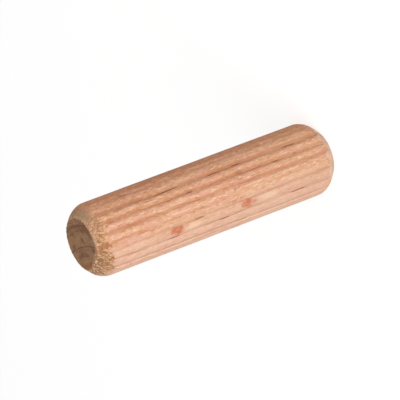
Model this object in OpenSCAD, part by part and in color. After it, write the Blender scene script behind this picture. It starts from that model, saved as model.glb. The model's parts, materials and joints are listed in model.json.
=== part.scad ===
// Fluted beech dowel pin: a short round peg, glued half its length into each of two boards.
// The pin stands on one of its flat ends, with its axis along Z.
// The origin is the middle of the end that it stands on. Sizes are in millimetres, +Z is up.

/* [Pin] */
// Diameter over the lands, the strips of round rod left between the flutes
pin_d = 8; // [6:0.5:14]
// Length from end to end
pin_len = 30; // [20:1:60]

/* [Flutes] */
// Number of straight flutes around the pin
flute_count = 24; // [12:1:28]
// Depth of a flute below the lands
flute_depth = 0.17; // [0.10:0.01:0.25]
// Radius of a flute's rounded bottom
flute_nose_r = 0.13; // [0.08:0.01:0.16]
// Radius of the worn shoulder where a flute meets the land beside it
shoulder_r = 0.12; // [0.04:0.01:0.18]

/* [Ends] */
// How far each chamfer brings the edge of the end face in from the lands
chamfer_in = 1.15; // [0.9:0.05:1.6]
// Angle between the chamfer and the axis
chamfer_angle = 45; // [35:1:55]
// Radius of the rounding that eases the chamfer into the side
ease_r = 1.9; // [1:0.1:2.4]

/* [Hidden] */
$fn = 96;
small_fn = 32;

pin_r = pin_d / 2;
face_r = pin_r - chamfer_in;
flute_pitch = 360 / flute_count;

// Centre of a flute's nose, on the section's +X axis
nose_x = pin_r - flute_depth + flute_nose_r;
// Centre of the shoulder beside it: it touches the rod's circle from inside and the nose from outside
shoulder_reach = pin_r - shoulder_r;
shoulder_gap = flute_nose_r + shoulder_r;
shoulder_x = (pow(shoulder_reach, 2) - pow(shoulder_gap, 2) + pow(nose_x, 2)) / (2 * nose_x);
shoulder_y = sqrt(pow(shoulder_reach, 2) - pow(shoulder_x, 2));
// The cutter runs on past the rod by this factor of the radius, so that it leaves no skin
past = 1.05;
past_shoulder = past * pin_r / shoulder_reach;

// The chamfer is a cone with a rounding after it, which touches both the cone and the side
ease_in = ease_r * (1 - cos(chamfer_angle));
cone_len = (chamfer_in - ease_in) / tan(chamfer_angle);
chamfer_len = cone_len + ease_r * sin(chamfer_angle);
ease_x = pin_r - ease_r;
past_ease = 1.2 * ease_r;

// Section of what one roller tooth takes away, on the +X side: a round nose and two eased shoulders
module flute_section() {
    translate([nose_x, 0])
        circle(r = flute_nose_r, $fn = small_fn);
    difference() {
        polygon([
            [nose_x, 0],
            [shoulder_x, -shoulder_y],
            [shoulder_x * past_shoulder, -shoulder_y * past_shoulder],
            [shoulder_x * past_shoulder, shoulder_y * past_shoulder],
            [shoulder_x, shoulder_y]
        ]);
        for (side = [-1, 1])
            translate([shoulder_x, side * shoulder_y])
                circle(r = shoulder_r, $fn = small_fn);
    }
}

// Section of the rod after all its flutes are rolled in
module rod_section() {
    difference() {
        circle(r = pin_r);
        for (i = [0 : flute_count - 1])
            rotate(i * flute_pitch)
                flute_section();
    }
}

// The fluted rod, cut off to the pin's length
module fluted_blank() {
    linear_extrude(height = pin_len)
        rod_section();
}

// Outline of the rounding at the bottom end: the part of its circle from the cone to the side
module ease_outline() {
    intersection() {
        translate([ease_x, chamfer_len])
            circle(r = ease_r);
        polygon([
            [ease_x, chamfer_len],
            [ease_x + past_ease * cos(chamfer_angle), chamfer_len - past_ease * sin(chamfer_angle)],
            [ease_x + past_ease, chamfer_len]
        ]);
    }
}

// What the chamfering cutter leaves of a round bar: a cone and a rounding at each end
module chamfered_envelope() {
    rotate_extrude() {
        polygon([
            [0, 0],
            [face_r, 0],
            [pin_r - ease_in, cone_len],
            [pin_r, chamfer_len],
            [pin_r, pin_len - chamfer_len],
            [pin_r - ease_in, pin_len - cone_len],
            [face_r, pin_len],
            [0, pin_len]
        ]);
        ease_outline();
        translate([0, pin_len])
            mirror([0, 1])
                ease_outline();
    }
}

module dowel_pin() {
    color([0.86, 0.68, 0.55])
        intersection() {
            fluted_blank();
            chamfered_envelope();
        }
}

dowel_pin();
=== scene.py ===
# %% [markdown]
# # A fluted beech dowel pin
#
# The pin is a short peg of beech that holds two boards together edge to edge. A mill planes a long
# round rod, rolls straight flutes into it with toothed wheels, and cuts it into pins whose ends are
# chamfered so that they find their holes. The flutes let glue spread and air escape.
#
# The solid model already holds the pin's true size, its flutes and its chamfers. This lesson keeps
# that form and adds what a machine drawing leaves out: flutes that wander and fade, cracks along
# them, a chamfer torn by the cutter, grain, rays, end grain and colour.

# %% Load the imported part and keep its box
import json
import math

import bpy
import numpy as np
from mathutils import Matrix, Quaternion, Vector, noise


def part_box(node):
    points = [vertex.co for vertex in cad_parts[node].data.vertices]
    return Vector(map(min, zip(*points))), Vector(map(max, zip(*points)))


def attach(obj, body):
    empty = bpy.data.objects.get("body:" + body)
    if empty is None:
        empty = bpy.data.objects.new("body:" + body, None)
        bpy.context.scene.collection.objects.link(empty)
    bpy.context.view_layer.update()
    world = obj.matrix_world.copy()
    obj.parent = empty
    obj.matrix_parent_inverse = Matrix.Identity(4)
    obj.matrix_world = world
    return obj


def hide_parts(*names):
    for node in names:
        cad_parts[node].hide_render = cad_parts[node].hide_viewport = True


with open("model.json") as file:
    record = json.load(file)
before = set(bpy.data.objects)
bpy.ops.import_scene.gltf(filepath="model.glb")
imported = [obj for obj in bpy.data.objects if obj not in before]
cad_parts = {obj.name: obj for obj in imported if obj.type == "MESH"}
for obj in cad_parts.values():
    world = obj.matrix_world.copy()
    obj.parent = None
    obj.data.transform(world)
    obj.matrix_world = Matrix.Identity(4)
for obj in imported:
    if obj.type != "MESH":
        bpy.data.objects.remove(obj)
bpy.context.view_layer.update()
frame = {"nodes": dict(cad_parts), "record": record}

# %% [markdown]
# ## Sizes
#
# The pin's own sizes are read from the solid model, and the rest are a few driving numbers. Blender
# works in metres and a wood turner in millimetres, so the shapes below are worked out in millimetres
# and one factor turns them into metres when the mesh is made.
#
# The chamfer is a 45 degree cone and then a rounding that touches both the cone and the side. Its
# length and its depth are enough to work out the two.

# %% Read the pin's sizes from the solid model
MM = 0.001
SAME_HEIGHT = 0.01 * MM

low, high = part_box("dowel_pin")
shank = next(m for m in frame["record"]["mounts"] if m["name"] == "shank")
PIN_R = shank["dims"]["r_mm"]
PIN_LEN = (high.z - low.z) / MM
CHAMFER_LEN = (PIN_LEN - shank["dims"]["length_mm"]) / 2

corners = [v.co for v in frame["nodes"]["dowel_pin"].data.vertices]
FACE_R = max(math.hypot(c.x, c.y) for c in corners if c.z > high.z - SAME_HEIGHT) / MM
CHAMFER_IN = PIN_R - FACE_R
EASE_R = (CHAMFER_LEN - CHAMFER_IN) / (math.sqrt(2) - 1)
CONE_LEN = CHAMFER_LEN - EASE_R / math.sqrt(2)
print(f"pin: radius {PIN_R:.2f} mm, length {PIN_LEN:.2f} mm, end face radius {FACE_R:.2f} mm")
print(f"chamfer: {CHAMFER_LEN:.2f} mm long, {CHAMFER_IN:.2f} mm deep, rounded to {EASE_R:.2f} mm")

# %% [markdown]
# ## The flutes as they are pressed
#
# A toothed wheel presses each flute, so its section is a rounded valley with eased shoulders. Arcs
# could draw it, but a cosine gives the same valley in one line. On the real pin no flute is perfect:
# the wood springs back, so a flute wanders by a fraction of a millimetre, and is deep at one end and
# nearly closed at the other.
#
# Each flute therefore has a sideways shift and a depth at either end. The ones that differ most are
# listed, counted anticlockwise from +X.

# %% List the flutes that differ most
FLUTES = 24
PITCH = 2 * math.pi / FLUTES
# flute: sideways shift in degrees at the bottom and at the top, then share of full depth at each
ODD_FLUTES = {
    12: (3.0, 3.0, 0.5, 0.5),
    13: (3.0, 3.0, 0.4, 0.4),
    14: (-2.5, -0.5, 0.42, 0.5),
    15: (1.8, 2.0, 0.42, 0.42),
    16: (5.0, 1.4, 0.6, 0.25),
    17: (4.2, 0.0, 0.1, 0.65),
    18: (0.6, 0.6, 0.9, 0.8),
    19: (0.0, 3.2, 0.95, 0.9),
    20: (3.0, 3.8, 0.95, 0.95),
    21: (10.0, 9.5, 0.3, 0.3),
    22: (7.0, 7.0, 0.35, 0.35),
    23: (4.5, 4.5, 0.5, 0.5),
}
print(f"{FLUTES} flutes, one every {math.degrees(PITCH):.0f} degrees")
print(len(ODD_FLUTES), "of them are described by hand")

# %% [markdown]
# ## How a flute wanders
#
# The other flutes draw their shift from smooth noise, and all of them sway and change depth a little
# as they go up. Random numbers would jump from ring to ring and differ on every run. Noise changes
# gently from place to place and is the same each time. The odd numbers in a call of it only keep one
# pattern apart from another.

# %% Bend and fade the flutes
FLUTE_HALF_WIDTH = 0.38
# a flute that isn't listed: the most that it is shifted, in degrees, and its share of full depth
USUAL_SHIFT = 2.4
USUAL_SHARES = (0.9, 0.9)
# how far a flute sways, in degrees, and the length of one sway in mm
SLOW_SWAY, SLOW_LENGTH = 1.2, 9
QUICK_SWAY, QUICK_LENGTH = 1.4, 2.5
# how much a flute's depth comes and goes, and over what length in mm
DEPTH_CHANGE, DEPTH_LENGTH = 0.3, 4


def smooth_noise(*place):
    """Noise from -1 to 1. Places that are one unit apart have little in common."""
    return noise.noise(Vector(place))


def between(height, bottom, top):
    """A value that changes evenly from the bottom end to the top end."""
    return bottom + (top - bottom) * height / PIN_LEN


def flute_wander(flute, height):
    """How far a flute has strayed sideways at a height, in radians."""
    slow = SLOW_SWAY * smooth_noise(height / SLOW_LENGTH, flute * 3.7, 1.5)
    quick = QUICK_SWAY * smooth_noise(height / QUICK_LENGTH, flute * 5.1, 8.2)
    drift = slow + quick
    if flute in ODD_FLUTES:
        shift = between(height, *ODD_FLUTES[flute][:2])
    else:
        shift = USUAL_SHIFT * smooth_noise(flute * 2.3, 4.4, 0.7)
    return math.radians(shift + drift)


def flute_strength(flute, height):
    """How much of its full depth a flute keeps at a height."""
    bottom, top = ODD_FLUTES[flute][2:] if flute in ODD_FLUTES else USUAL_SHARES
    change = 1 + DEPTH_CHANGE * smooth_noise(height / DEPTH_LENGTH, flute * 7.9, 2.6)
    return between(height, bottom, top) * change


def flute_cut(aside):
    """Share of a flute's depth at a distance aside from its middle: 1 there and 0 on the land."""
    return 0.5 + 0.5 * math.cos(math.pi * min(abs(aside) / FLUTE_HALF_WIDTH, 1))


sways = [math.degrees(flute_wander(flute, PIN_LEN / 2)) for flute in range(FLUTES)]
print(f"half way up, the flutes have strayed by {min(sways):.1f} to {max(sways):.1f} degrees")

# %% [markdown]
# ## Cracks along the flutes
#
# Pressing splits some fibres apart, so short dark cracks follow the bottoms of a few flutes, and a
# fine broken hairline joins them. A crack could be cut with a thin wedge, but it is hardly wider than
# a hair. It is enough to say how far it has opened at each height, and to let that number deepen and
# darken the flute.

# %% List the cracks
# flute, height of the crack's middle and its length in mm, and how far it is open from 0 to 1
CRACKS = [
    (3, 9.0, 3.0, 1.0), (3, 19.0, 2.2, 1.0),
    (6, 6.0, 2.4, 1.0),
    (8, 14.0, 2.6, 1.0),
    (9, 22.0, 1.8, 1.0),
    (11, 17.5, 2.8, 1.0),
    (14, 12.6, 1.6, 0.9), (14, 17.0, 4.0, 0.3), (14, 23.8, 4.0, 0.3),
    (15, 5.5, 2.0, 1.0), (15, 13.0, 2.2, 0.4), (15, 15.0, 1.6, 1.0), (15, 21.1, 1.3, 1.0),
    (15, 26.0, 2.6, 0.35),
    (16, 18.0, 1.3, 1.0),
    (18, 12.0, 5.0, 0.35), (18, 18.5, 4.0, 0.35),
    (19, 7.3, 0.8, 1.0), (19, 11.0, 5.0, 0.45), (19, 18.2, 0.8, 1.0), (19, 20.5, 6.0, 0.45),
    (20, 4.9, 1.7, 1.0), (20, 11.6, 1.2, 1.0), (20, 14.6, 1.7, 1.0), (20, 20.4, 3.3, 1.0),
    (21, 24.9, 1.2, 1.0),
    (23, 12.0, 2.0, 1.0),
]
# the hairline of painted shade: how strongly it comes and goes, over what length in mm, and the
# most that it opens
HAIRLINE_SHADE, HAIRLINE_SHADE_LENGTH, HAIRLINE_SHADE_MOST = 0.8, 1.6, 0.22
# how much is taken off the painted shade hairline, so that it breaks here and there
HAIRLINE_SHADE_BREAKS = 0.04
# a crack keeps its width for most of its length and closes near its ends: a higher power is blunter
CRACK_BLUNTNESS = 4


def crack_and_shade_strength(flute, height):
    """How far a flute's bottom has split open and is painted with shade at a height, from 0 to 1."""
    hairline_shade = HAIRLINE_SHADE * smooth_noise(height / HAIRLINE_SHADE_LENGTH, flute * 4.1, 6.6) - HAIRLINE_SHADE_BREAKS
    strongest = min(HAIRLINE_SHADE_MOST, max(0.0, hairline_shade))
    for where, middle, length, opened in CRACKS:
        if where == flute:
            out = 2 * abs(height - middle) / length
            strongest = max(strongest, opened * (1 - out ** CRACK_BLUNTNESS))
    return strongest


print(len(CRACKS), "cracks in", len({flute for flute, *_ in CRACKS}), "flutes")

# %% [markdown]
# ## Spots
#
# Ray tissue cut at a slant shows as orange flecks, some round and some drawn out to a streak. There
# are a few dark flecks too, and pale ones where a fibre has lifted. Noise could scatter them, but only
# a handful show and each has a size of its own, so each one is listed.

# %% List the spots
# angle in degrees, height of the middle, length along the pin and width across it in mm
ORANGE_SPOTS = [
    (237.5, 20.8, 2.2, 1.25), (238.2, 11.9, 2.3, 1.2), (70.0, 9.0, 1.6, 0.7),
    (128.0, 16.0, 1.8, 0.8),
]
ORANGE_STREAKS = [
    (253.9, 24.8, 2.2, 0.4), (252.2, 23.4, 2.2, 0.4), (250.5, 13.5, 4.5, 0.5),
    (100.0, 20.0, 3.0, 0.4),
]
DARK_SPOTS = [
    (288.0, 18.1, 1.1, 0.4), (289.0, 11.9, 1.0, 0.5), (287.3, 4.8, 0.6, 0.2),
    (20.0, 14.5, 1.0, 0.4), (160.0, 22.0, 1.1, 0.4),
]
PALE_SPOTS = [
    (293.4, 22.8, 2.4, 0.22), (296.7, 25.3, 3.0, 0.18), (265.2, 10.7, 4.4, 0.2),
    (264.6, 6.2, 2.6, 0.2), (263.0, 20.0, 2.6, 0.2), (236.5, 18.7, 2.2, 0.9),
    (238.5, 9.3, 3.2, 0.9), (40.0, 17.0, 3.0, 0.2), (110.0, 12.0, 3.0, 0.2),
    (150.0, 8.0, 2.4, 0.2),
]
STREAK_STRENGTH = 0.5


def spot_strength(spots, angle, height):
    """1 in the middle of a spot, falling to 0 at its edge."""
    best = 0.0
    for where, middle, length, width in spots:
        around = (math.degrees(angle) - where + 180) % 360 - 180
        across = math.radians(around) * PIN_R / (width / 2)
        best = max(best, 1 - across ** 2 - (2 * (height - middle) / length) ** 2)
    return best


def all_spots(angle, height):
    """How orange, how dark and how pale the wood is at one place on the side."""
    streak = STREAK_STRENGTH * spot_strength(ORANGE_STREAKS, angle, height)
    orange = max(spot_strength(ORANGE_SPOTS, angle, height), streak)
    return orange, spot_strength(DARK_SPOTS, angle, height), spot_strength(PALE_SPOTS, angle, height)


print(len(ORANGE_SPOTS + ORANGE_STREAKS + DARK_SPOTS + PALE_SPOTS), "spots")

# %% [markdown]
# ## A mesh that follows the flutes
#
# A displaced cylinder would need a very dense even grid to hold flutes half a millimetre wide. Here
# the grid is laid out to follow the flutes instead: each flute has the same number of columns, crowded
# into its valley, and the columns move sideways with the flute. Rings lie close together on the
# chamfers, where the wood is torn, and further apart along the shank, where it is straight.

# %% Lay out the rings and columns
COLUMNS_PER_FLUTE = 18
# above 1 the columns crowd towards the flute's middle
CROWDING = 1.35
# from ring to ring in mm, along the shank and near an end, and how far the rings near an end go
SHANK_STEP, CHAMFER_STEP = 0.22, 0.045
CHAMFER_ZONE = 1.70


def column_offsets():
    """Angles of one flute's columns from its middle."""
    half = COLUMNS_PER_FLUTE // 2
    steps = [i / half for i in range(-half, half)]
    return [math.copysign(abs(s) ** CROWDING, s) * PITCH / 2 for s in steps]


def ring_heights():
    """Heights of the rings from the bottom edge to the top edge."""
    zone_steps = round(CHAMFER_ZONE / CHAMFER_STEP)
    shank_steps = round((PIN_LEN - 2 * CHAMFER_ZONE) / SHANK_STEP)
    bottom = np.linspace(0, CHAMFER_ZONE, zone_steps, endpoint=False)
    middle = np.linspace(CHAMFER_ZONE, PIN_LEN - CHAMFER_ZONE, shank_steps, endpoint=False)
    top = np.linspace(PIN_LEN - CHAMFER_ZONE, PIN_LEN, zone_steps + 1)
    return np.concatenate([bottom, middle, top])


OFFSETS = column_offsets()
HEIGHTS = ring_heights()
COLUMNS = len(OFFSETS) * FLUTES
print(len(HEIGHTS), "rings of", COLUMNS, "columns")

# %% [markdown]
# ## The chamfer as it is drawn
#
# Each end is turned to the same cone and rounding. On the real pin the two cuts differ: the bottom one
# went a little deeper all round, and at the top the cutter met the pin off centre, so that it took
# more on one side and less on another. The drawn curve stays, and the tool is moved in along it.

# %% Cut the chamfer
# how far each end's chamfer is cut deeper than drawn: bottom, then top
EXTRA_CUT = (0.07, -0.02)
# the top end has lost more on one side and less on another: where, in degrees, how much, and how
# narrowly, as a power of the cosine
CHIPPED_SIDE, CHIPPED, CHIP_POWER = 205, 0.39, 10
SPARED_SIDE, SPARED, SPARED_POWER = 45, 0.10, 3


def turned_radius(from_end):
    """Radius that a sharp cutter would leave at a distance from the end."""
    if from_end >= CHAMFER_LEN:
        return PIN_R
    if from_end < CONE_LEN:
        return FACE_R + from_end
    return PIN_R - EASE_R + math.sqrt(EASE_R ** 2 - (CHAMFER_LEN - from_end) ** 2)


def towards(angle, side):
    """1 in the direction of a side given in degrees, 0 at right angles to it and beyond."""
    return max(0.0, math.cos(angle - math.radians(side)))


def deeper_cut(angle, end):
    """How far an end's chamfer is cut deeper than drawn in one direction. end is 0 below, 1 on top."""
    chip = CHIPPED * towards(angle, CHIPPED_SIDE) ** CHIP_POWER
    spared = SPARED * towards(angle, SPARED_SIDE) ** SPARED_POWER
    return EXTRA_CUT[end] + (chip - spared) * end


cuts = [deeper_cut(math.radians(degrees), 1) for degrees in range(360)]
print(f"the top chamfer is cut from {min(cuts):.2f} to {max(cuts):.2f} mm deeper than drawn")

# %% [markdown]
# ## The torn chamfer
#
# The cutter that chamfers an end meets the fibres almost end on, and tears them instead of slicing.
# The cone is left crumbly, with a ragged edge about a millimetre up, where the rounding has turned
# far enough along the fibres to be cut clean.
#
# A saw-tooth line would look cut by a machine. Two noises round the pin, one broad and one fine, give
# an edge that breaks where bundles of fibres broke, and one bundle that broke out much further is
# given on its own.

# %% Draw the ragged edge
TEAR_LEN = 1.10
# teeth of the ragged edge: how far they reach and how wide they are, in mm
BROAD_TEETH, BROAD_WIDTH = 0.65, 0.7
FINE_TEETH, FINE_WIDTH = 0.55, 0.24
# one bundle of fibres at the top end broke out further: where and how wide in degrees, and how far
BROKEN_OUT = (254, 6, 0.45)


def share(value):
    """A value held between 0 and 1."""
    return min(1.0, max(0.0, value))


def teeth_reach(angle, end):
    """How far the ragged edge reaches past its mean height in one direction, in mm."""
    around = angle * PIN_R
    broad = BROAD_TEETH * smooth_noise(around / BROAD_WIDTH, end * 9.0, 3.3)
    fine = FINE_TEETH * smooth_noise(around / FINE_WIDTH, end * 9.0, 6.1)
    where, width, further = BROKEN_OUT
    inside = share(2 * (1 - abs(math.degrees(angle) % 360 - where) / width))
    return broad + fine + end * further * inside


reaches = [TEAR_LEN + teeth_reach(math.radians(degrees), 1) for degrees in range(360)]
print(f"at the top the tearing reaches {min(reaches):.2f} to {max(reaches):.2f} mm from the end")

# %% [markdown]
# ## The crumbly cone
#
# Within that edge the fibres stand in bundles 0.15 to 0.3 mm thick, with gaps between them, and the
# sharp edge of the end face is nibbled away. Blender's displacement could do this, but then the
# colours would not know where the wood is torn. Worked out point by point, one number serves both.
# Noise crosses zero along thin wandering lines, and those lines are the gaps.

# %% Pull the fibres apart
# gaps between the bundles: their width and length in mm, and how steeply a gap falls off
GAP_WIDTH, GAP_LENGTH = 0.34, 0.40
GAP_LEVEL, GAP_STEEPNESS = 1.05, 3.5
# the bundles lean as they go up the cone, and waver
BUNDLE_LEAN, BUNDLE_WAVER, WAVER_WIDTH = 0.5, 0.25, 0.5
LUMP_SIZE, LUMP_STRENGTH = 0.4, 0.7
# the nibbled edge of the end face: its depth and length in mm, and the sizes of its two noises
RIM_DEPTH, RIM_LEN = 0.16, 0.25
RIM_FINE, RIM_BROAD = 0.13, 0.4


def gap_between_bundles(angle, from_end, end):
    """How far a place lies in the gap between two bundles of fibres, from 0 to 1."""
    around = angle * PIN_R
    waver = BUNDLE_WAVER * smooth_noise(around / WAVER_WIDTH, from_end / GAP_LENGTH, 2.2)
    slant = BUNDLE_LEAN * from_end + waver
    crease = smooth_noise((around + slant) / GAP_WIDTH, from_end / GAP_LENGTH, end * 5.0 + 0.4)
    lumps = smooth_noise(around / LUMP_SIZE, from_end / LUMP_SIZE, end * 5.0 + 7.7)
    return share(GAP_LEVEL - GAP_STEEPNESS * abs(crease) + LUMP_STRENGTH * lumps)


def nibbled_rim(angle, from_end, end):
    """How far the sharp edge of the end face is worn back, in mm."""
    around = angle * PIN_R
    fine = smooth_noise(around / RIM_FINE, 4.0, end * 3.0)
    broad = smooth_noise(around / RIM_BROAD, 7.0, end * 3.0)
    return RIM_DEPTH * max(0.0, 1 - from_end / RIM_LEN) * (fine + broad)


gaps = [gap_between_bundles(math.radians(degrees), TEAR_LEN / 2, 1) for degrees in range(360)]
print(f"half way up the torn part, {100 * sum(g > 0.5 for g in gaps) / len(gaps):.0f} % lies in a gap")

# %% [markdown]
# ## What the cutter leaves
#
# The tearing is strongest where the cutter's teeth leave the wood, which is one side of each end, and
# weakest opposite. Here the drawn curve, the deeper cut, the ragged edge and the gaps come together
# as one radius for every place on a chamfer.

# %% Tear the chamfer
TEAR_DEPTH = 0.10
EDGE_SOFTNESS = 0.10
# the side that each end's cutter tears most, in degrees, and how much it tears there and opposite:
# bottom, then top
TORN_SIDE = (60, 232)
TORN_MOST = (0.5, 1.25)
TORN_LEAST = (0.2, 0.35)
# share of the torn look that the chamfer keeps on the side that tears least
LEAST_ROUGH = 0.45


def torn_radius(angle, from_end, end):
    """Radius that the cutter really leaves, how rough it is there, and how deeply torn."""
    facing = (0.5 + 0.5 * math.cos(angle - math.radians(TORN_SIDE[end]))) ** 2
    amount = TORN_LEAST[end] + (TORN_MOST[end] - TORN_LEAST[end]) * facing
    deeper = deeper_cut(angle, end)
    edge = TEAR_LEN + deeper + teeth_reach(angle, end)
    rough = share((edge - from_end) / EDGE_SOFTNESS + 0.5)
    torn = rough * amount * gap_between_bundles(angle, from_end, end)
    lost = TEAR_DEPTH * torn + amount * nibbled_rim(angle, from_end, end)
    looks_rough = rough * (LEAST_ROUGH + (1 - LEAST_ROUGH) * facing)
    return turned_radius(from_end - deeper) - lost, looks_rough, torn


for end, name in enumerate(("bottom", "top")):
    lost = turned_radius(TEAR_LEN / 2) - torn_radius(math.radians(TORN_SIDE[end]), TEAR_LEN / 2, end)[0]
    print(f"on its most torn side, the {name} chamfer lies {lost:.2f} mm inside the drawn one")

# %% [markdown]
# ## Every point of the side
#
# A point of the side lies on the rod, in a flute, in a crack or on the chamfer, whichever is deepest.
# The same step keeps how much of each it has. These numbers are masks: the finish reads them later,
# so that a dark line falls exactly in its crack and the crumbs lie exactly on the torn wood.

# %% Put the surface together
FLUTE_DEPTH = 0.17
# pressing also wears the land down a little towards each flute: how much, and how steeply
LAND_CROWN, CROWN_POWER = 0.045, 1.3
# painted shade on a flute's wall, a little to one side of its bottom: how far in mm, how narrowly
FLUTE_SHADE_SHIFT, FLUTE_SHADE_POWER = 0.09, 2.4
CRACK_HALF_WIDTH = 0.07
CRACK_DEPTH = 0.08
# the planed rod ripples by this much, over this width and length, and stays inside its drawn radius
RIPPLE, RIPPLE_WIDTH, RIPPLE_LENGTH = 0.012, 0.35, 6
RIPPLE_ROOM = 0.006
# over how many mm the chamfer's look gives way to the side's
CHAMFER_BLEND = 0.05


def swell(offset, power):
    """1 at the bottom of a flute and 0 half way to the next, narrower with a higher power."""
    return (0.5 + 0.5 * math.cos(2 * math.pi * offset / PITCH)) ** power


def surface_at(flute, offset, height, sways, strengths):
    """Angle and radius of one point of the side, and how much of each mask it has."""
    beside = (flute + (1 if offset > 0 else -1)) % FLUTES
    sway = sways[flute] + (sways[beside] - sways[flute]) * abs(offset) / PITCH
    angle = flute * PITCH + offset + sway
    aside = offset * PIN_R
    strength = strengths[flute]
    # painted shade on the flute's wall, a little to one side of its bottom
    flute_shade = min(1.0, strength) * swell(offset - FLUTE_SHADE_SHIFT / PIN_R, FLUTE_SHADE_POWER)
    # how far a crack has opened here, which also paints its shade
    crack_and_shade = crack_and_shade_strength(flute, height) * max(0.0, 1 - abs(aside) / CRACK_HALF_WIDTH)
    ripple = RIPPLE * smooth_noise(angle * PIN_R / RIPPLE_WIDTH, height / RIPPLE_LENGTH, 5.0)
    worn = LAND_CROWN * min(1.0, strength) * swell(offset, CROWN_POWER)
    pressed = FLUTE_DEPTH * strength * flute_cut(aside) + worn
    rod = PIN_R - RIPPLE_ROOM + ripple - pressed - CRACK_DEPTH * crack_and_shade
    end = int(height > PIN_LEN / 2)
    from_end = PIN_LEN - height if end else height
    turned, rough, torn = torn_radius(angle, from_end, end)
    chamfer = rough * share((rod - turned) / CHAMFER_BLEND + 0.5)
    return angle, min(rod, turned, PIN_R), (flute_shade, crack_and_shade, chamfer, torn, *all_spots(angle, height))


def ring_of_points(height):
    """The points of one ring in mm, anticlockwise from flute 0, and their masks."""
    sways = [flute_wander(flute, height) for flute in range(FLUTES)]
    strengths = [flute_strength(flute, height) for flute in range(FLUTES)]
    points, masks = [], []
    for flute in range(FLUTES):
        for offset in OFFSETS:
            angle, radius, mask_values = surface_at(flute, offset, height, sways, strengths)
            points.append((radius * math.cos(angle), radius * math.sin(angle), height))
            masks.append(mask_values)
    return points, masks


side_points, side_masks = [], []
for height in HEIGHTS:
    ring, ring_masks = ring_of_points(height)
    side_points += ring
    side_masks += ring_masks
radii = [math.hypot(x, y) for x, y, z in side_points if CHAMFER_LEN < z < PIN_LEN - CHAMFER_LEN]
print(len(side_points), "points on the side")
print(f"between the chamfers the radius runs from {min(radii):.3f} to {max(radii):.3f} mm")

# %% [markdown]
# ## The two end faces
#
# A saw cuts the pins apart and leaves each end slightly hollow, with fine marks across it. One big
# flat polygon could close the end, but it would have no points to carry that relief. Rings that
# shrink towards the middle give the end grain points of its own, closest together near the rim,
# where the face is frayed.

# %% Make the points of the ends
END_SHARES = (0.98, 0.955, 0.925, 0.89, 0.82, 0.66, 0.5, 0.33, 0.16)
# how hollow an end is, how squarely the hollow meets the rim, and how hollow its very middle is
HOLLOW, HOLLOW_POWER, MIDDLE_HOLLOW = 0.08, 8, 0.05
# saw marks: their depth, and their size across and along the stroke
SAW_DEPTH, SAW_ACROSS, SAW_ALONG = 0.03, 0.4, 2.0
# how far the frayed rim reaches into the face, in mm: on the most torn side, and as fine and broad
# noise with the size of each
FRAY_FACING, FRAY_POWER = 0.30, 4
FRAY_FINE, FRAY_FINE_SIZE = 0.26, 0.25
FRAY_BROAD, FRAY_BROAD_SIZE = 0.15, 0.9
FRAY_SOFTNESS = 0.08


def end_rings(edge, height, inward):
    """Rings of one end face from its edge towards its middle. inward is 1 below and -1 on top."""
    points = []
    for part in END_SHARES:
        for x, y, _ in edge:
            marks = SAW_DEPTH * smooth_noise(x * part / SAW_ACROSS, y * part / SAW_ALONG, height)
            dip = HOLLOW * (1 - part ** HOLLOW_POWER) + marks
            points.append((x * part, y * part, height + inward * max(0.0, dip)))
    return points


def end_share(point):
    """How much a point belongs to the end grain: 0 on the frayed rim, 1 further in."""
    x, y, z = point
    angle, end = math.atan2(y, x), int(z > PIN_LEN / 2)
    inside = FACE_R - deeper_cut(angle, end) - math.hypot(x, y)
    facing = 0.5 + 0.5 * math.cos(angle - math.radians(TORN_SIDE[end]))
    fine = FRAY_FINE * smooth_noise(x / FRAY_FINE_SIZE, y / FRAY_FINE_SIZE, z)
    broad = FRAY_BROAD * smooth_noise(x / FRAY_BROAD_SIZE, y / FRAY_BROAD_SIZE, z)
    fray = FRAY_FACING * facing ** FRAY_POWER + fine + broad
    return share((inside - fray) / FRAY_SOFTNESS + 0.5)


bottom_points = end_rings(side_points[:COLUMNS], 0.0, 1)
top_points = end_rings(side_points[-COLUMNS:], PIN_LEN, -1)
middles = [(0.0, 0.0, MIDDLE_HOLLOW), (0.0, 0.0, PIN_LEN - MIDDLE_HOLLOW)]
end_points = bottom_points + top_points + middles
print(len(end_points), "points on the ends")

# %% [markdown]
# ## Joining the points
#
# The side is one sheet of quads from ring to ring. Each end goes on from the side's last ring through
# its own rings, and a fan of triangles closes its middle. The order of a face's corners decides which
# way it looks, so the bottom end's faces are turned over to look out of the wood.

# %% Join the points into faces
def ring_faces(first, second, flip=False):
    """Quads between two rings that start at these point numbers."""
    faces = []
    for i in range(COLUMNS):
        j = (i + 1) % COLUMNS
        quad = (first + i, first + j, second + j, second + i)
        faces.append(quad[::-1] if flip else quad)
    return faces


def end_faces(edge, first, middle, flip):
    """Faces of one end: edge is its outermost ring on the side, first its own first ring."""
    starts = [edge] + [first + r * COLUMNS for r in range(len(END_SHARES))]
    faces = []
    for outer, inner in zip(starts, starts[1:]):
        faces += ring_faces(outer, inner, flip)
    for i in range(COLUMNS):
        rim = (starts[-1] + i, starts[-1] + (i + 1) % COLUMNS)
        faces.append((*rim[::-1], middle) if flip else (*rim, middle))
    return faces


faces = []
for ring in range(len(HEIGHTS) - 1):
    faces += ring_faces(ring * COLUMNS, (ring + 1) * COLUMNS)
everything = side_points + end_points
first_of_ends, last_ring = len(side_points), len(side_points) - COLUMNS
faces += end_faces(0, first_of_ends, len(everything) - 2, flip=True)
faces += end_faces(last_ring, first_of_ends + len(bottom_points), len(everything) - 1, flip=False)
print(len(everything), "points and", len(faces), "faces")

# %% [markdown]
# ## The pin in the scene
#
# The mesh goes where the solid model is, so it needs no placing. Each mask becomes a named attribute
# on the mesh, one number to a point. An image wrapped round the pin could carry the masks too, but it
# would have to be unwrapped, and would blur a crack this fine.
#
# The finished mesh stands for the solid pin, which then hides, and it moves with the root, the only
# body there is.

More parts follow.
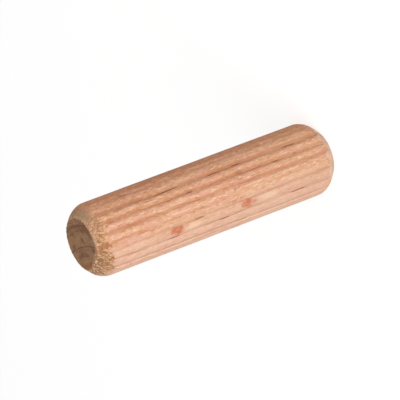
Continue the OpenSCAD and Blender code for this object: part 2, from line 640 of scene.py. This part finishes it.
# %% Make the mesh and hand it over
# the masks for the finish; the flutes' wall shade and the darkness of the cracks are painted shade
MASKS = ("painted_flute_shade", "crack_and_shade", "chamfer", "torn", "orange_spot", "dark_spot", "pale_spot")


def store(mesh, name, values):
    """Keeps one number for each point of a mesh."""
    mesh.attributes.new(name, "FLOAT", "POINT").data.foreach_set("value", values)


mesh = bpy.data.meshes.new("beech_pin")
places = np.array(everything) * MM + np.array([0, 0, low.z])
mesh.from_pydata(places.tolist(), [], faces)
mesh.shade_smooth()
for name, values in zip(MASKS, zip(*side_masks)):
    on_ends = 1.0 if name == "chamfer" else 0.0
    store(mesh, name, [*values] + [on_ends] * len(end_points))
store(mesh, "end_face", [0.0] * len(side_points) + [end_share(p) for p in end_points])

pin = bpy.data.objects.new("beech_pin", mesh)
bpy.context.scene.collection.objects.link(pin)
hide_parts("dowel_pin")
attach(pin, "root")
mesh.calc_loop_triangles()
print("the pin has", len(mesh.loop_triangles), "triangles")

# %% [markdown]
# ## Tools for the finish
#
# Blender describes a finish as a web of nodes. Drawn by hand, a wood's web soon fills the screen. A
# few helpers keep it readable as a recipe: each adds one node and returns the socket that carries its
# result, so that one can be fed into the next.

# %% Small helpers for nodes
def plug(tree, socket, value):
    """Feeds a socket from another socket, or sets it to a number or a colour."""
    if isinstance(value, bpy.types.NodeSocket):
        tree.links.new(value, socket)
    elif isinstance(value, tuple) and len(value) == 3 and socket.type == "RGBA":
        socket.default_value = (*value, 1.0)
    else:
        socket.default_value = value


def calc(tree, operation, a, b=0.0):
    """One sum, product or other step of arithmetic."""
    step = tree.nodes.new("ShaderNodeMath")
    step.operation = operation
    plug(tree, step.inputs[0], a)
    plug(tree, step.inputs[1], b)
    return step.outputs[0]


def fade(tree, value, start, end, most=1.0):
    """0 before start, most after end, and a smooth rise between. start may be the higher of the two."""
    step = tree.nodes.new("ShaderNodeMapRange")
    step.interpolation_type = "SMOOTHSTEP"
    plug(tree, step.inputs["Value"], value)
    step.inputs["From Min"].default_value = start
    step.inputs["From Max"].default_value = end
    step.inputs["To Max"].default_value = most
    return step.outputs["Result"]


def tint(tree, amount, under, over, how="MIX"):
    """Lays one colour over another by an amount."""
    mix = tree.nodes.new("ShaderNodeMix")
    mix.data_type = "RGBA"
    mix.blend_type = how
    plug(tree, mix.inputs["Factor"], amount)
    plug(tree, mix.inputs["A"], under)
    plug(tree, mix.inputs["B"], over)
    return mix.outputs["Result"]


def apart(tree, place):
    """The three coordinates of a place."""
    split = tree.nodes.new("ShaderNodeSeparateXYZ")
    tree.links.new(place, split.inputs[0])
    return split.outputs


def mask(tree, name):
    """One of the masks stored on the mesh."""
    reader = tree.nodes.new("ShaderNodeAttribute")
    reader.attribute_name = name
    return reader.outputs["Fac"]


print("masks to read:", [a.name for a in mesh.attributes if a.data_type == "FLOAT"])

# %% [markdown]
# ## Beech
#
# Bare beech is a pale pinkish tan, patchy with rose. Each year's growth ends in a slightly darker
# line. On its -X side the pin is painted paler and whiter, partly as young sapwood and partly as
# painted sheen. A flat texture of boards would have to be wrapped round the pin and would not meet
# the end grain. A pattern in space is cut through by every surface, as the plank was.

# %% Mix the plank
PALE = (0.93, 0.545, 0.36)
TAN = (0.76, 0.37, 0.20)
ROSE = (0.90, 0.47, 0.36)
# young wood, painted whiter than it is as painted sheen on the -X side
SAPWOOD_AND_SHEEN = (0.96, 0.65, 0.49)
# patches of noise: waves per mm along X, Y and Z, where they begin and are full, and how strong
TAN_PATCHES = ((0.9, 0.9, 0.10), 0.4, 0.62, 0.6)
ROSE_PATCHES = ((0.9, 1.3, 0.35), 0.48, 0.6, 0.55)
# where along X, in mm, the paler sapwood and painted sheen begin and are full, and how strong
SAPWOOD_AND_SHEEN_SIDE = (-1.8, -3.4, 0.6)
# the rings: one year's growth, where the count starts, and how far they waver, in mm
YEAR, FIRST_YEAR, RING_WAVER = 2.4, 21.75, 0.6
WAVER_PATTERN = (0.3, 0.3, 0.04)
# how much the rings lean as they cross the pin
RING_LEAN = 0.05
# late wood comes slowly through the year and stops short at its end
LATE_COMES, LATE_STOPS, LATE_STRENGTH = (0.35, 0.88), (0.9, 1.0), 0.55


def pattern(tree, place, per_mm, detail=2.0, roughness=0.5):
    """Noise with its own fineness along X, Y and Z, in waves per millimetre."""
    stretch = tree.nodes.new("ShaderNodeVectorMath")
    stretch.operation = "MULTIPLY"
    tree.links.new(place, stretch.inputs[0])
    stretch.inputs[1].default_value = [n / MM for n in per_mm]
    texture = tree.nodes.new("ShaderNodeTexNoise")
    texture.inputs["Scale"].default_value = 1.0
    texture.inputs["Detail"].default_value = detail
    texture.inputs["Roughness"].default_value = roughness
    tree.links.new(stretch.outputs[0], texture.inputs["Vector"])
    return texture.outputs["Fac"]


def patches(tree, place, per_mm, start, end, most, detail=2.0, roughness=0.5):
    """The high parts of a noise, as patches with soft edges."""
    return fade(tree, pattern(tree, place, per_mm, detail, roughness), start, end, most)


def reach(tree, distance, start, end, most=1.0):
    """A fade between two distances in mm."""
    return fade(tree, distance, start * MM, end * MM, most)


def years(tree, place, across):
    """How far one year's growth has come, 0 to 1, at a distance across the rings."""
    waver = calc(tree, "MULTIPLY", pattern(tree, place, WAVER_PATTERN), RING_WAVER * MM)
    from_first = calc(tree, "ADD", calc(tree, "ADD", across, waver), FIRST_YEAR * MM)
    return calc(tree, "FRACT", calc(tree, "DIVIDE", from_first, YEAR * MM))


def plank_colour(tree, place):
    """Colour of the plank that the pin was cut from, along the grain, with painted sheen towards -X."""
    x, y, _ = apart(tree, place)
    colour = tint(tree, patches(tree, place, *TAN_PATCHES), PALE, TAN)
    year = years(tree, place, calc(tree, "ADD", x, calc(tree, "MULTIPLY", y, RING_LEAN)))
    late = calc(tree, "SUBTRACT", fade(tree, year, *LATE_COMES), fade(tree, year, *LATE_STOPS))
    colour = tint(tree, calc(tree, "MULTIPLY", late, LATE_STRENGTH), colour, TAN)
    colour = tint(tree, reach(tree, x, *SAPWOOD_AND_SHEEN_SIDE), colour, SAPWOOD_AND_SHEEN)
    return tint(tree, patches(tree, place, *ROSE_PATCHES), colour, ROSE)


print(f"about {2 * PIN_R / YEAR:.1f} years of growth cross the pin")

# %% [markdown]
# ## Fibres and flutes
#
# Close up, the side is not smooth. Fine streaks run along it, lifted fibres catch the light, and open
# pores are dark. They are rougher on the side where the grain runs out of the surface. The walls of
# the flutes are painted darker too, as painted shade in their hollows.
#
# Real fibres could be modelled, but they are finer than any sensible mesh. Three noises, each finer
# than the last and stretched along the pin, read the same.

# %% Lay the fibres and the painted shade of the flutes over the plank
CREAM = (0.99, 0.70, 0.48)
# dark pores, and the painted shade on the flutes' walls
PORE_AND_GROOVE_SHADE = (0.50, 0.20, 0.09)
STREAKS = (4.0, 4.0, 0.25)
STREAK_DETAIL = (3.0, 0.6)
# streaks, lifted fibres and open pores: a colour each, and its patches of noise
FIBRES = [
    (TAN, (STREAKS, 0.46, 0.66, 0.62, *STREAK_DETAIL)),
    (CREAM, ((6.5, 6.5, 1.6), 0.5, 0.65, 0.8)),
    (PORE_AND_GROOVE_SHADE, ((9.0, 9.0, 1.7), 0.54, 0.7, 0.65, 1.0)),
]
# where along X the grain runs out of the surface, and how strong the fibres are elsewhere
ROUGH_SIDE = (-2.2, 0.5, 0.5)
ELSEWHERE = 0.5
# how strong the painted shade on the flutes' walls is
FLUTE_SHADE_STRENGTH = 0.65


def fibre_colour(tree, place, colour):
    """The plank's colour with its fibres and the painted shade on the walls of its flutes."""
    rough = calc(tree, "ADD", reach(tree, apart(tree, place)[0], *ROUGH_SIDE), ELSEWHERE)
    for over, layer in FIBRES:
        amount = calc(tree, "MULTIPLY", patches(tree, place, *layer), rough)
        colour = tint(tree, amount, colour, over)
    streaky = calc(tree, "ADD", pattern(tree, place, STREAKS, *STREAK_DETAIL), 0.5)
    shaded_wall = calc(tree, "MULTIPLY", mask(tree, "painted_flute_shade"), streaky)
    return tint(tree, fade(tree, shaded_wall, 0.0, 1.0, FLUTE_SHADE_STRENGTH), colour, PORE_AND_GROOVE_SHADE)


print("the fibres have", [layer[0][0] for _, layer in FIBRES], "waves per mm across the grain")

# %% [markdown]
# ## The change of tone
#
# The plank's tone changes a little through it, and the ramp adds painted shade and sheen as well:
# the +X side is painted redder and darker, as shade where the light falls away, and the -X side a
# little bluer, as painted sheen. The pin is also a little paler at its lower end. More noise would
# only make it cloudy. A colour ramp along X says plainly what the tone and the painted shade are
# where, and the colours mixed so far are multiplied by it.

# %% Change the tone and paint the shade across the pin
# what the colour is multiplied by at each X in mm: painted shade towards +X, sheen towards -X
TONES_AND_PAINTED_SHADE = [
    (-3.2, (1.0, 1.0, 1.0)), (-2.5, (0.95, 0.97, 1.0)), (-1.6, (0.90, 0.90, 0.91)),
    (-1.0, (0.97, 0.97, 0.95)), (-0.5, (1.0, 1.0, 1.0)), (0.2, (0.98, 0.95, 0.93)),
    (2.8, (0.99, 0.92, 0.85)), (3.3, (0.90, 0.77, 0.67)), (3.8, (0.82, 0.68, 0.60)),
]
# the paler end: where it begins and is full, as shares of the pin's length, and how strong
PALER_END = (0.5, 0.1, 0.14)


def toned_and_shaded_colour(tree, place, colour):
    """The colour with the plank's change of tone, painted shade on +X and painted sheen on -X."""
    x, _, z = apart(tree, place)
    start, end, most = PALER_END
    colour = tint(tree, reach(tree, z, start * PIN_LEN, end * PIN_LEN, most), colour, CREAM)
    ramp = tree.nodes.new("ShaderNodeValToRGB")
    width = 2 * PIN_R
    plug(tree, ramp.inputs["Fac"], calc(tree, "ADD", calc(tree, "DIVIDE", x, width * MM), 0.5))
    stops = ramp.color_ramp.elements
    while len(stops) < len(TONES_AND_PAINTED_SHADE):
        stops.new(0.5)
    for stop, (at, tone) in zip(stops, TONES_AND_PAINTED_SHADE):
        stop.position = at / width + 0.5
        stop.color = (*tone, 1.0)
    return tint(tree, 1.0, colour, ramp.outputs["Color"], how="MULTIPLY")


print(len(TONES_AND_PAINTED_SHADE), "tones, from X", TONES_AND_PAINTED_SHADE[0][0], "to", TONES_AND_PAINTED_SHADE[-1][0], "mm")

# %% [markdown]
# ## Spots, and painted shade in the cracks
#
# The masks say where a spot or a crack is, and each one lays its own colour over the wood. Ray tissue
# is not a clean disc, so noise eats into the orange spots. A crack and the hairline get two colours of
# painted shade: brown along their sides and a near black painted shadow inside, which keeps them
# sharp without a deep and costly mesh.

# %% Add the spots and the painted shade of the cracks
ORANGE = (0.64, 0.185, 0.08)
SMOKE = (0.26, 0.10, 0.045)
# painted shade along a crack's sides, and painted shadow inside it
SEAM_SHADE = (0.44, 0.155, 0.06)
SPLIT_SHADOW = (0.20, 0.075, 0.025)
RAGGED_PATCHES = ((3.5, 3.5, 1.8), 0.38, 0.58, 0.9)
RAGGED_LEAST = 0.5
STAIN = (0.05, 1.0, 0.9)
# mask, colour, then where in the mask the colour begins and is full, and how strong it is
MARKS = [
    ("pale_spot", CREAM, (0.0, 1.0, 0.55)),
    ("dark_spot", SMOKE, (0.0, 0.8, 0.4)),
    ("crack_and_shade", SEAM_SHADE, (0.0, 0.4, 0.75)),
    ("crack_and_shade", SPLIT_SHADOW, (0.35, 0.9, 0.85)),
]


def marked_colour(tree, place, colour):
    """The side's colour with its spots, and the painted shade of its cracks."""
    ragged = calc(tree, "ADD", patches(tree, place, *RAGGED_PATCHES), RAGGED_LEAST)
    stain = calc(tree, "MULTIPLY", mask(tree, "orange_spot"), ragged)
    colour = tint(tree, fade(tree, stain, *STAIN), colour, ORANGE)
    for name, over, amount in MARKS:
        colour = tint(tree, fade(tree, mask(tree, name), *amount), colour, over)
    return colour


print(1 + len(MARKS), "layers of marks")

# %% [markdown]
# ## The chamfers' finish
#
# The torn fibres of the top chamfer are a mat of short ends: pale tips with painted highlights, brown
# between them, and painted shade darker still in the gaps. A late wood band crosses it as one browner
# strip.
#
# Hair could make the mat, but tufts a tenth of a millimetre thick would cost far more than they show.
# Noise of that size colours them, and the mesh's own tearing gives the relief.

# %% Mix the colour of the torn fibres
CRUMB = (0.60, 0.295, 0.13)
# pale fibre tips with a painted highlight
CRUMB_TIP_HIGHLIGHT = (1.0, 0.70, 0.46)
# painted shade in the gaps between the bundles and among the tufts
CRUMB_GAP_SHADE = (0.25, 0.11, 0.05)
CRUMB_BAND = (0.50, 0.20, 0.085)
FUZZ = (5.5, 5.5, 4.2)
# where in the fuzz the pale, highlighted tips begin and are full, and how strong; the same for the
# painted shade in the gaps of the tearing
TIP_HIGHLIGHTS = (0.48, 0.62, 0.75)
GAP_SHADE = (0.25, 1.0, 0.62)
# the late wood band: where along X in mm, then its outer and inner edge from there, and how strong
BAND_AT, BAND_EDGES = -1.03, (0.34, 0.18, 0.8)


def torn_colour(tree, place):
    """Colour of freshly torn fibres, with painted highlights on their tips and painted shade in the gaps.
    """
    fuzz = pattern(tree, place, FUZZ)
    colour = tint(tree, fade(tree, fuzz, *TIP_HIGHLIGHTS), CRUMB, CRUMB_TIP_HIGHLIGHT)
    colour = tint(tree, fade(tree, mask(tree, "torn"), *GAP_SHADE), colour, CRUMB_GAP_SHADE)
    from_band = calc(tree, "ABSOLUTE", calc(tree, "SUBTRACT", apart(tree, place)[0], BAND_AT * MM))
    return tint(tree, reach(tree, from_band, *BAND_EDGES), colour, CRUMB_BAND)


print("a crumb of the torn fibres is about", round(1 / FUZZ[0], 2), "mm across")

# %% [markdown]
# ## Wear and painted light on the chamfers
#
# Round the top the rim is frayed pale, the +X side is painted grey and dark as shade where the light
# falls away, and the opposite side is painted darker as the shade of its own tufts. The bottom chamfer
# was cut by a sharper tool, so it is plain and smooth, and it is painted nearly white, partly as its
# pale wood and partly as painted light from below. Each kind of wear and painted shade has a place,
# so each is a product of simple fades: how far below the top, how far along X, and where in the fuzz.

# %% Wear and shade the top chamfer, and paint the bottom one pale and lit
FRAYED = (0.68, 0.435, 0.285)
# painted shade, grey, on the +X side of the top chamfer near its rim
GREY_SHADE = (0.22, 0.195, 0.125)
# the bottom cut's pale wood, painted nearly white as painted light from below
CLEAN_CUT_AND_LIGHT = (1.0, 0.78, 0.65)
# distances below the top in mm: the part that is painted with shade, and the frayed rim
NEAR_RIM = (1.1, 0.4)
FRAYED_RIM = (0.28, 0.08)
# along X in mm: where each begins and is full, and how strong
GREY_SHADE_SIDE = (1.5, 2.6, 0.75)
FRAYED_SIDE = (-1.5, -1.0)
SHADE_NEAR = (-1.0, -1.6, 0.15)
SHADE_FAR = (-2.2, -3.4, 0.55)
FRAYED_TIPS = (0.42, 0.54)
# the shade gathers between the tufts: how strong it is there, and how much less on their tips
BETWEEN_TUFTS, TUFT_TIPS = 1.6, (0.42, 0.58, 1.3)
# the finish changes from the bottom chamfer's to the top one's between these shares of the length
CHANGE_OVER = (0.4, 0.6)


def below_top(tree, z, start, end):
    """A fade between two distances below the top of the pin."""
    return reach(tree, z, PIN_LEN - start, PIN_LEN - end)


def product(tree, first, *others):
    """All of these multiplied together."""
    for other in others:
        first = calc(tree, "MULTIPLY", first, other)
    return first


def chamfer_colour(tree, place):
    """Colour of the torn, frayed top chamfer with painted shade, and of the bottom cut, painted lit."""
    x, _, z = apart(tree, place)
    fuzz = pattern(tree, place, FUZZ)
    near_rim = below_top(tree, z, *NEAR_RIM)
    # painted grey shade on the +X side near the rim
    shaded = product(tree, near_rim, reach(tree, x, *GREY_SHADE_SIDE))
    colour = tint(tree, shaded, torn_colour(tree, place), GREY_SHADE)
    on_rim, on_side = below_top(tree, z, *FRAYED_RIM), reach(tree, x, *FRAYED_SIDE)
    frayed = product(tree, on_rim, fade(tree, fuzz, *FRAYED_TIPS), on_side)
    colour = tint(tree, frayed, colour, FRAYED)
    shade = calc(tree, "ADD", reach(tree, x, *SHADE_NEAR), reach(tree, x, *SHADE_FAR))
    between_tufts = calc(tree, "SUBTRACT", BETWEEN_TUFTS, fade(tree, fuzz, *TUFT_TIPS))
    colour = tint(tree, product(tree, near_rim, shade, between_tufts), colour, CRUMB_GAP_SHADE)
    on_top = reach(tree, z, *(part * PIN_LEN for part in CHANGE_OVER))
    return tint(tree, on_top, CLEAN_CUT_AND_LIGHT, colour)


print("the top rim is frayed over the last", FRAYED_RIM[0], "mm and soiled over", NEAR_RIM[0], "mm")

# %% [markdown]
# ## End grain
#
# Sawn across, beech looks brown, because light sinks into the open ends of its pores. The rings show
# as arcs, each with a dark line where its year ends, and rays cross them. On one side the saw left
# the grain crumbled, and on the other it is stained.
#
# The rings of a whole tree would need its pith placed far outside the pin. An arc this short is nearly
# a parabola, so the distance across the rings is X plus the square of the way along them.

# %% Mix the colour of the end grain
END_BROWN = (0.41, 0.217, 0.106)
END_DARK = (0.20, 0.074, 0.037)
END_RAY = (0.51, 0.312, 0.175)
END_TORN = (0.44, 0.24, 0.13)
END_STAIN = (0.40, 0.165, 0.066)
# the arc: where its middle is along Y, twice its radius, and how far it is moved along X, in mm
ARC_MIDDLE, ARC_ACROSS, ARC_MOVED = 0.9, 18, 0.21
LATE_WOOD = (0.45, 0.95, 0.5)
YEAR_LINE = (0.93, 0.99, 0.8)
RAYS = ((0.6, 5.0, 0.6), 0.5, 0.62, 0.4)
FINE_BANDS = ((4.0, 0.7, 0.6), 0.5, 0.62, 0.6)
BLOTCHES = ((1.2, 0.8, 0.8), 0.48, 0.64, 0.65, 3.0)
CRUMBLED = ((6.0, 4.0, 4.0), 0.45, 0.65, 0.8)
# distances in mm, across the rings or along X: where each begins and is full, and how strong
DARK_RING = (1.3, 1.9, 0.45)
CRUMBLED_SIDE = (1.9, 2.05, 0.9)
STAINED_SIDE = (-1.8, -2.2, 0.8)


def end_colour(tree, place):
    """Colour of the end grain: a dark line where each year ends, and rays from ring to ring."""
    x, y, _ = apart(tree, place)
    along = calc(tree, "SUBTRACT", y, ARC_MIDDLE * MM)
    arch = calc(tree, "DIVIDE", product(tree, along, along), ARC_ACROSS * MM)
    across = calc(tree, "ADD", x, calc(tree, "SUBTRACT", arch, ARC_MOVED * MM))
    year = years(tree, place, across)
    colour = tint(tree, fade(tree, year, *LATE_WOOD), END_BROWN, END_DARK)
    colour = tint(tree, patches(tree, place, *RAYS), colour, END_RAY)
    colour = tint(tree, patches(tree, place, *FINE_BANDS), colour, END_RAY)
    colour = tint(tree, fade(tree, year, *YEAR_LINE), colour, END_DARK)
    colour = tint(tree, patches(tree, place, *BLOTCHES), colour, END_DARK)
    colour = tint(tree, reach(tree, across, *DARK_RING), colour, END_DARK)
    colour = tint(tree, reach(tree, x, *STAINED_SIDE), colour, END_STAIN)
    crumbled = tint(tree, patches(tree, place, *CRUMBLED), END_TORN, END_DARK)
    return tint(tree, reach(tree, across, *CRUMBLED_SIDE), colour, crumbled)


print(f"the arcs of the rings have a radius of {ARC_ACROSS / 2:.0f} mm")

# %% [markdown]
# ## Putting the finish together
#
# The masks choose between the three colours: the side's, the chamfers' and the ends'. Bare wood has
# no varnish, so it is rough with a weak shine, the same all over, and those two are plain numbers on
# the shader. A fine bump stands in for the fibres that are too small for the mesh.

# %% Make the finish and put it on
FIBRE_RELIEF = (9.0, 9.0, 1.2)
RELIEF_DETAIL = 3.0
RELIEF_STRENGTH, RELIEF_DEPTH = 0.4, 0.03
ROUGHNESS, SHINE = 0.8, 0.3


def beech():
    """The finish of the whole pin."""
    finish = bpy.data.materials.new("bare_beech")
    finish.use_nodes = True
    tree = finish.node_tree
    shader = tree.nodes["Principled BSDF"]
    place = tree.nodes.new("ShaderNodeTexCoord").outputs["Object"]
    colour = fibre_colour(tree, place, plank_colour(tree, place))
    colour = marked_colour(tree, place, toned_and_shaded_colour(tree, place, colour))
    colour = tint(tree, mask(tree, "chamfer"), colour, chamfer_colour(tree, place))
    colour = tint(tree, mask(tree, "end_face"), colour, end_colour(tree, place))
    plug(tree, shader.inputs["Base Color"], colour)
    relief = tree.nodes.new("ShaderNodeBump")
    relief.inputs["Strength"].default_value = RELIEF_STRENGTH
    relief.inputs["Distance"].default_value = RELIEF_DEPTH * MM
    plug(tree, relief.inputs["Height"], pattern(tree, place, FIBRE_RELIEF, RELIEF_DETAIL))
    plug(tree, shader.inputs["Normal"], relief.outputs["Normal"])
    shader.inputs["Roughness"].default_value = ROUGHNESS
    shader.inputs["Specular IOR Level"].default_value = SHINE
    return finish


pin.data.materials.append(beech())
print("finish:", [m.name for m in pin.data.materials])
print(len(pin.data.materials[0].node_tree.nodes), "nodes")

# %% [markdown]
# ## The floor
#
# The pin stands on a plain white floor. A floor lit like the pin would come out light grey, and more
# light would bleach the wood. So the floor glows a little, but only for rays that show it, straight
# or in a reflection. The light that it throws on the pin stays as it was, and so does the pin's
# shadow on it.

# %% Lay the floor
FLOOR_HALF = 1.5
FLOOR_GREY, FLOOR_ROUGHNESS, FLOOR_GLOW = 0.8, 0.9, 0.6
WHITE = (1.0, 1.0, 1.0)


def backdrop_ray(tree):
    """1 for a ray that shows the background, straight, mirrored or through glass, else 0."""
    ray = tree.nodes.new("ShaderNodeLightPath")
    indirect = calc(tree, "MAXIMUM", ray.outputs["Is Glossy Ray"], ray.outputs["Is Transmission Ray"])
    return calc(tree, "MAXIMUM", ray.outputs["Is Camera Ray"], indirect)


def white_floor():
    """A matt finish that looks a little brighter than it is lit, so that it reads as white."""
    finish = bpy.data.materials.new("white_floor")
    finish.use_nodes = True
    tree = finish.node_tree
    shader = tree.nodes["Principled BSDF"]
    shader.inputs["Base Color"].default_value = (FLOOR_GREY, FLOOR_GREY, FLOOR_GREY, 1.0)
    shader.inputs["Roughness"].default_value = FLOOR_ROUGHNESS
    shader.inputs["Specular IOR Level"].default_value = 0.0
    plug(tree, shader.inputs["Emission Color"], WHITE)
    glow = calc(tree, "MULTIPLY", backdrop_ray(tree), FLOOR_GLOW)
    plug(tree, shader.inputs["Emission Strength"], glow)
    return finish


floor_mesh = bpy.data.meshes.new("floor")
floor_corners = [(x * FLOOR_HALF, y * FLOOR_HALF, low.z) for x, y in ((-1, -1), (1, -1), (1, 1), (-1, 1))]
floor_mesh.from_pydata(floor_corners, [], [(0, 1, 2, 3)])
floor = bpy.data.objects.new("floor", floor_mesh)
floor.data.materials.append(white_floor())
bpy.context.scene.collection.objects.link(floor)
print("floor:", 2 * FLOOR_HALF, "m square at a height of", round(low.z, 4), "m")

# %% [markdown]
# ## The light
#
# One wide soft lamp does most of the work, from the left and low, so that it rakes across the flutes.
# A weaker one opens their shadows, and a pale surround lights the rest. A lamp's power says little
# about how bright it makes things, because it spreads with distance. So each lamp is described by the
# brightness that it gives a white card, and its power is worked out from that: about 1 in all, and a
# colour shows as it was mixed.

# %% Light it
MIDDLE = (low + high) / 2
LAMP_SIZE = 0.20
SURROUND = 0.40


def direction(azimuth, elevation):
    """Unit vector towards a place round the pin. Azimuth 0 is -Y, the front, and 90 is +X."""
    a, e = math.radians(azimuth), math.radians(elevation)
    return Vector((math.sin(a) * math.cos(e), -math.cos(a) * math.cos(e), math.sin(e)))


def soft_box(name, azimuth, elevation, distance, level):
    """A square lamp aimed at the pin. level is how bright it makes a white card held square to it."""
    lamp = bpy.data.lights.new(name, "AREA")
    lamp.shape = "SQUARE"
    lamp.size = LAMP_SIZE
    lamp.energy = level * math.pi ** 2 * distance ** 2
    box = bpy.data.objects.new(name, lamp)
    away = direction(azimuth, elevation)
    box.location = MIDDLE + away * distance
    box.rotation_euler = away.to_track_quat("Z", "Y").to_euler()
    bpy.context.scene.collection.objects.link(box)


def white_surround():
    """A world that lights the pin evenly and is white where the camera sees it."""
    world = bpy.data.worlds.new("white_surround")
    world.use_nodes = True
    tree = world.node_tree
    background = tree.nodes["Background"]
    plug(tree, background.inputs["Color"], WHITE)
    strength = calc(tree, "MAXIMUM", backdrop_ray(tree), SURROUND)
    plug(tree, background.inputs["Strength"], strength)
    bpy.context.scene.world = world


soft_box("key_light", azimuth=-32, elevation=10, distance=0.25, level=0.53)
soft_box("fill_light", azimuth=10, elevation=15, distance=0.30, level=0.26)
white_surround()
bpy.context.scene.view_settings.view_transform = "Standard"

# %% [markdown]
# ## The camera
#
# The pin is seen from the front and a little above its top end. A short lens close by would make the
# near end look swollen, so the lens is long and stands well back. The camera is turned on its side,
# so that the standing pin slopes across the view.

# %% Place the camera
CAMERA_UP = 28.2
CAMERA_ROLL = -110.70
CAMERA_FAR = 0.3738
LENS = 322.2
SENSOR = 36.0
# the middle of the view is a hair off the pin's, as a share of its width
SHIFT_X, SHIFT_Y = -0.0064, -0.0029
NOTHING_NEARER = 0.01

lens = bpy.data.cameras.new("camera")
lens.lens = LENS
lens.sensor_width = SENSOR
lens.shift_x = SHIFT_X
lens.shift_y = SHIFT_Y
lens.clip_start = NOTHING_NEARER
camera = bpy.data.objects.new("camera", lens)
back = direction(0, CAMERA_UP)
camera.location = MIDDLE + back * CAMERA_FAR
level_view = (-back).to_track_quat("-Z", "Y")
camera.rotation_mode = "QUATERNION"
camera.rotation_quaternion = level_view @ Quaternion((0, 0, 1), math.radians(CAMERA_ROLL))
bpy.context.scene.collection.objects.link(camera)
bpy.context.scene.camera = camera
print("camera at", tuple(round(c, 4) for c in camera.location))
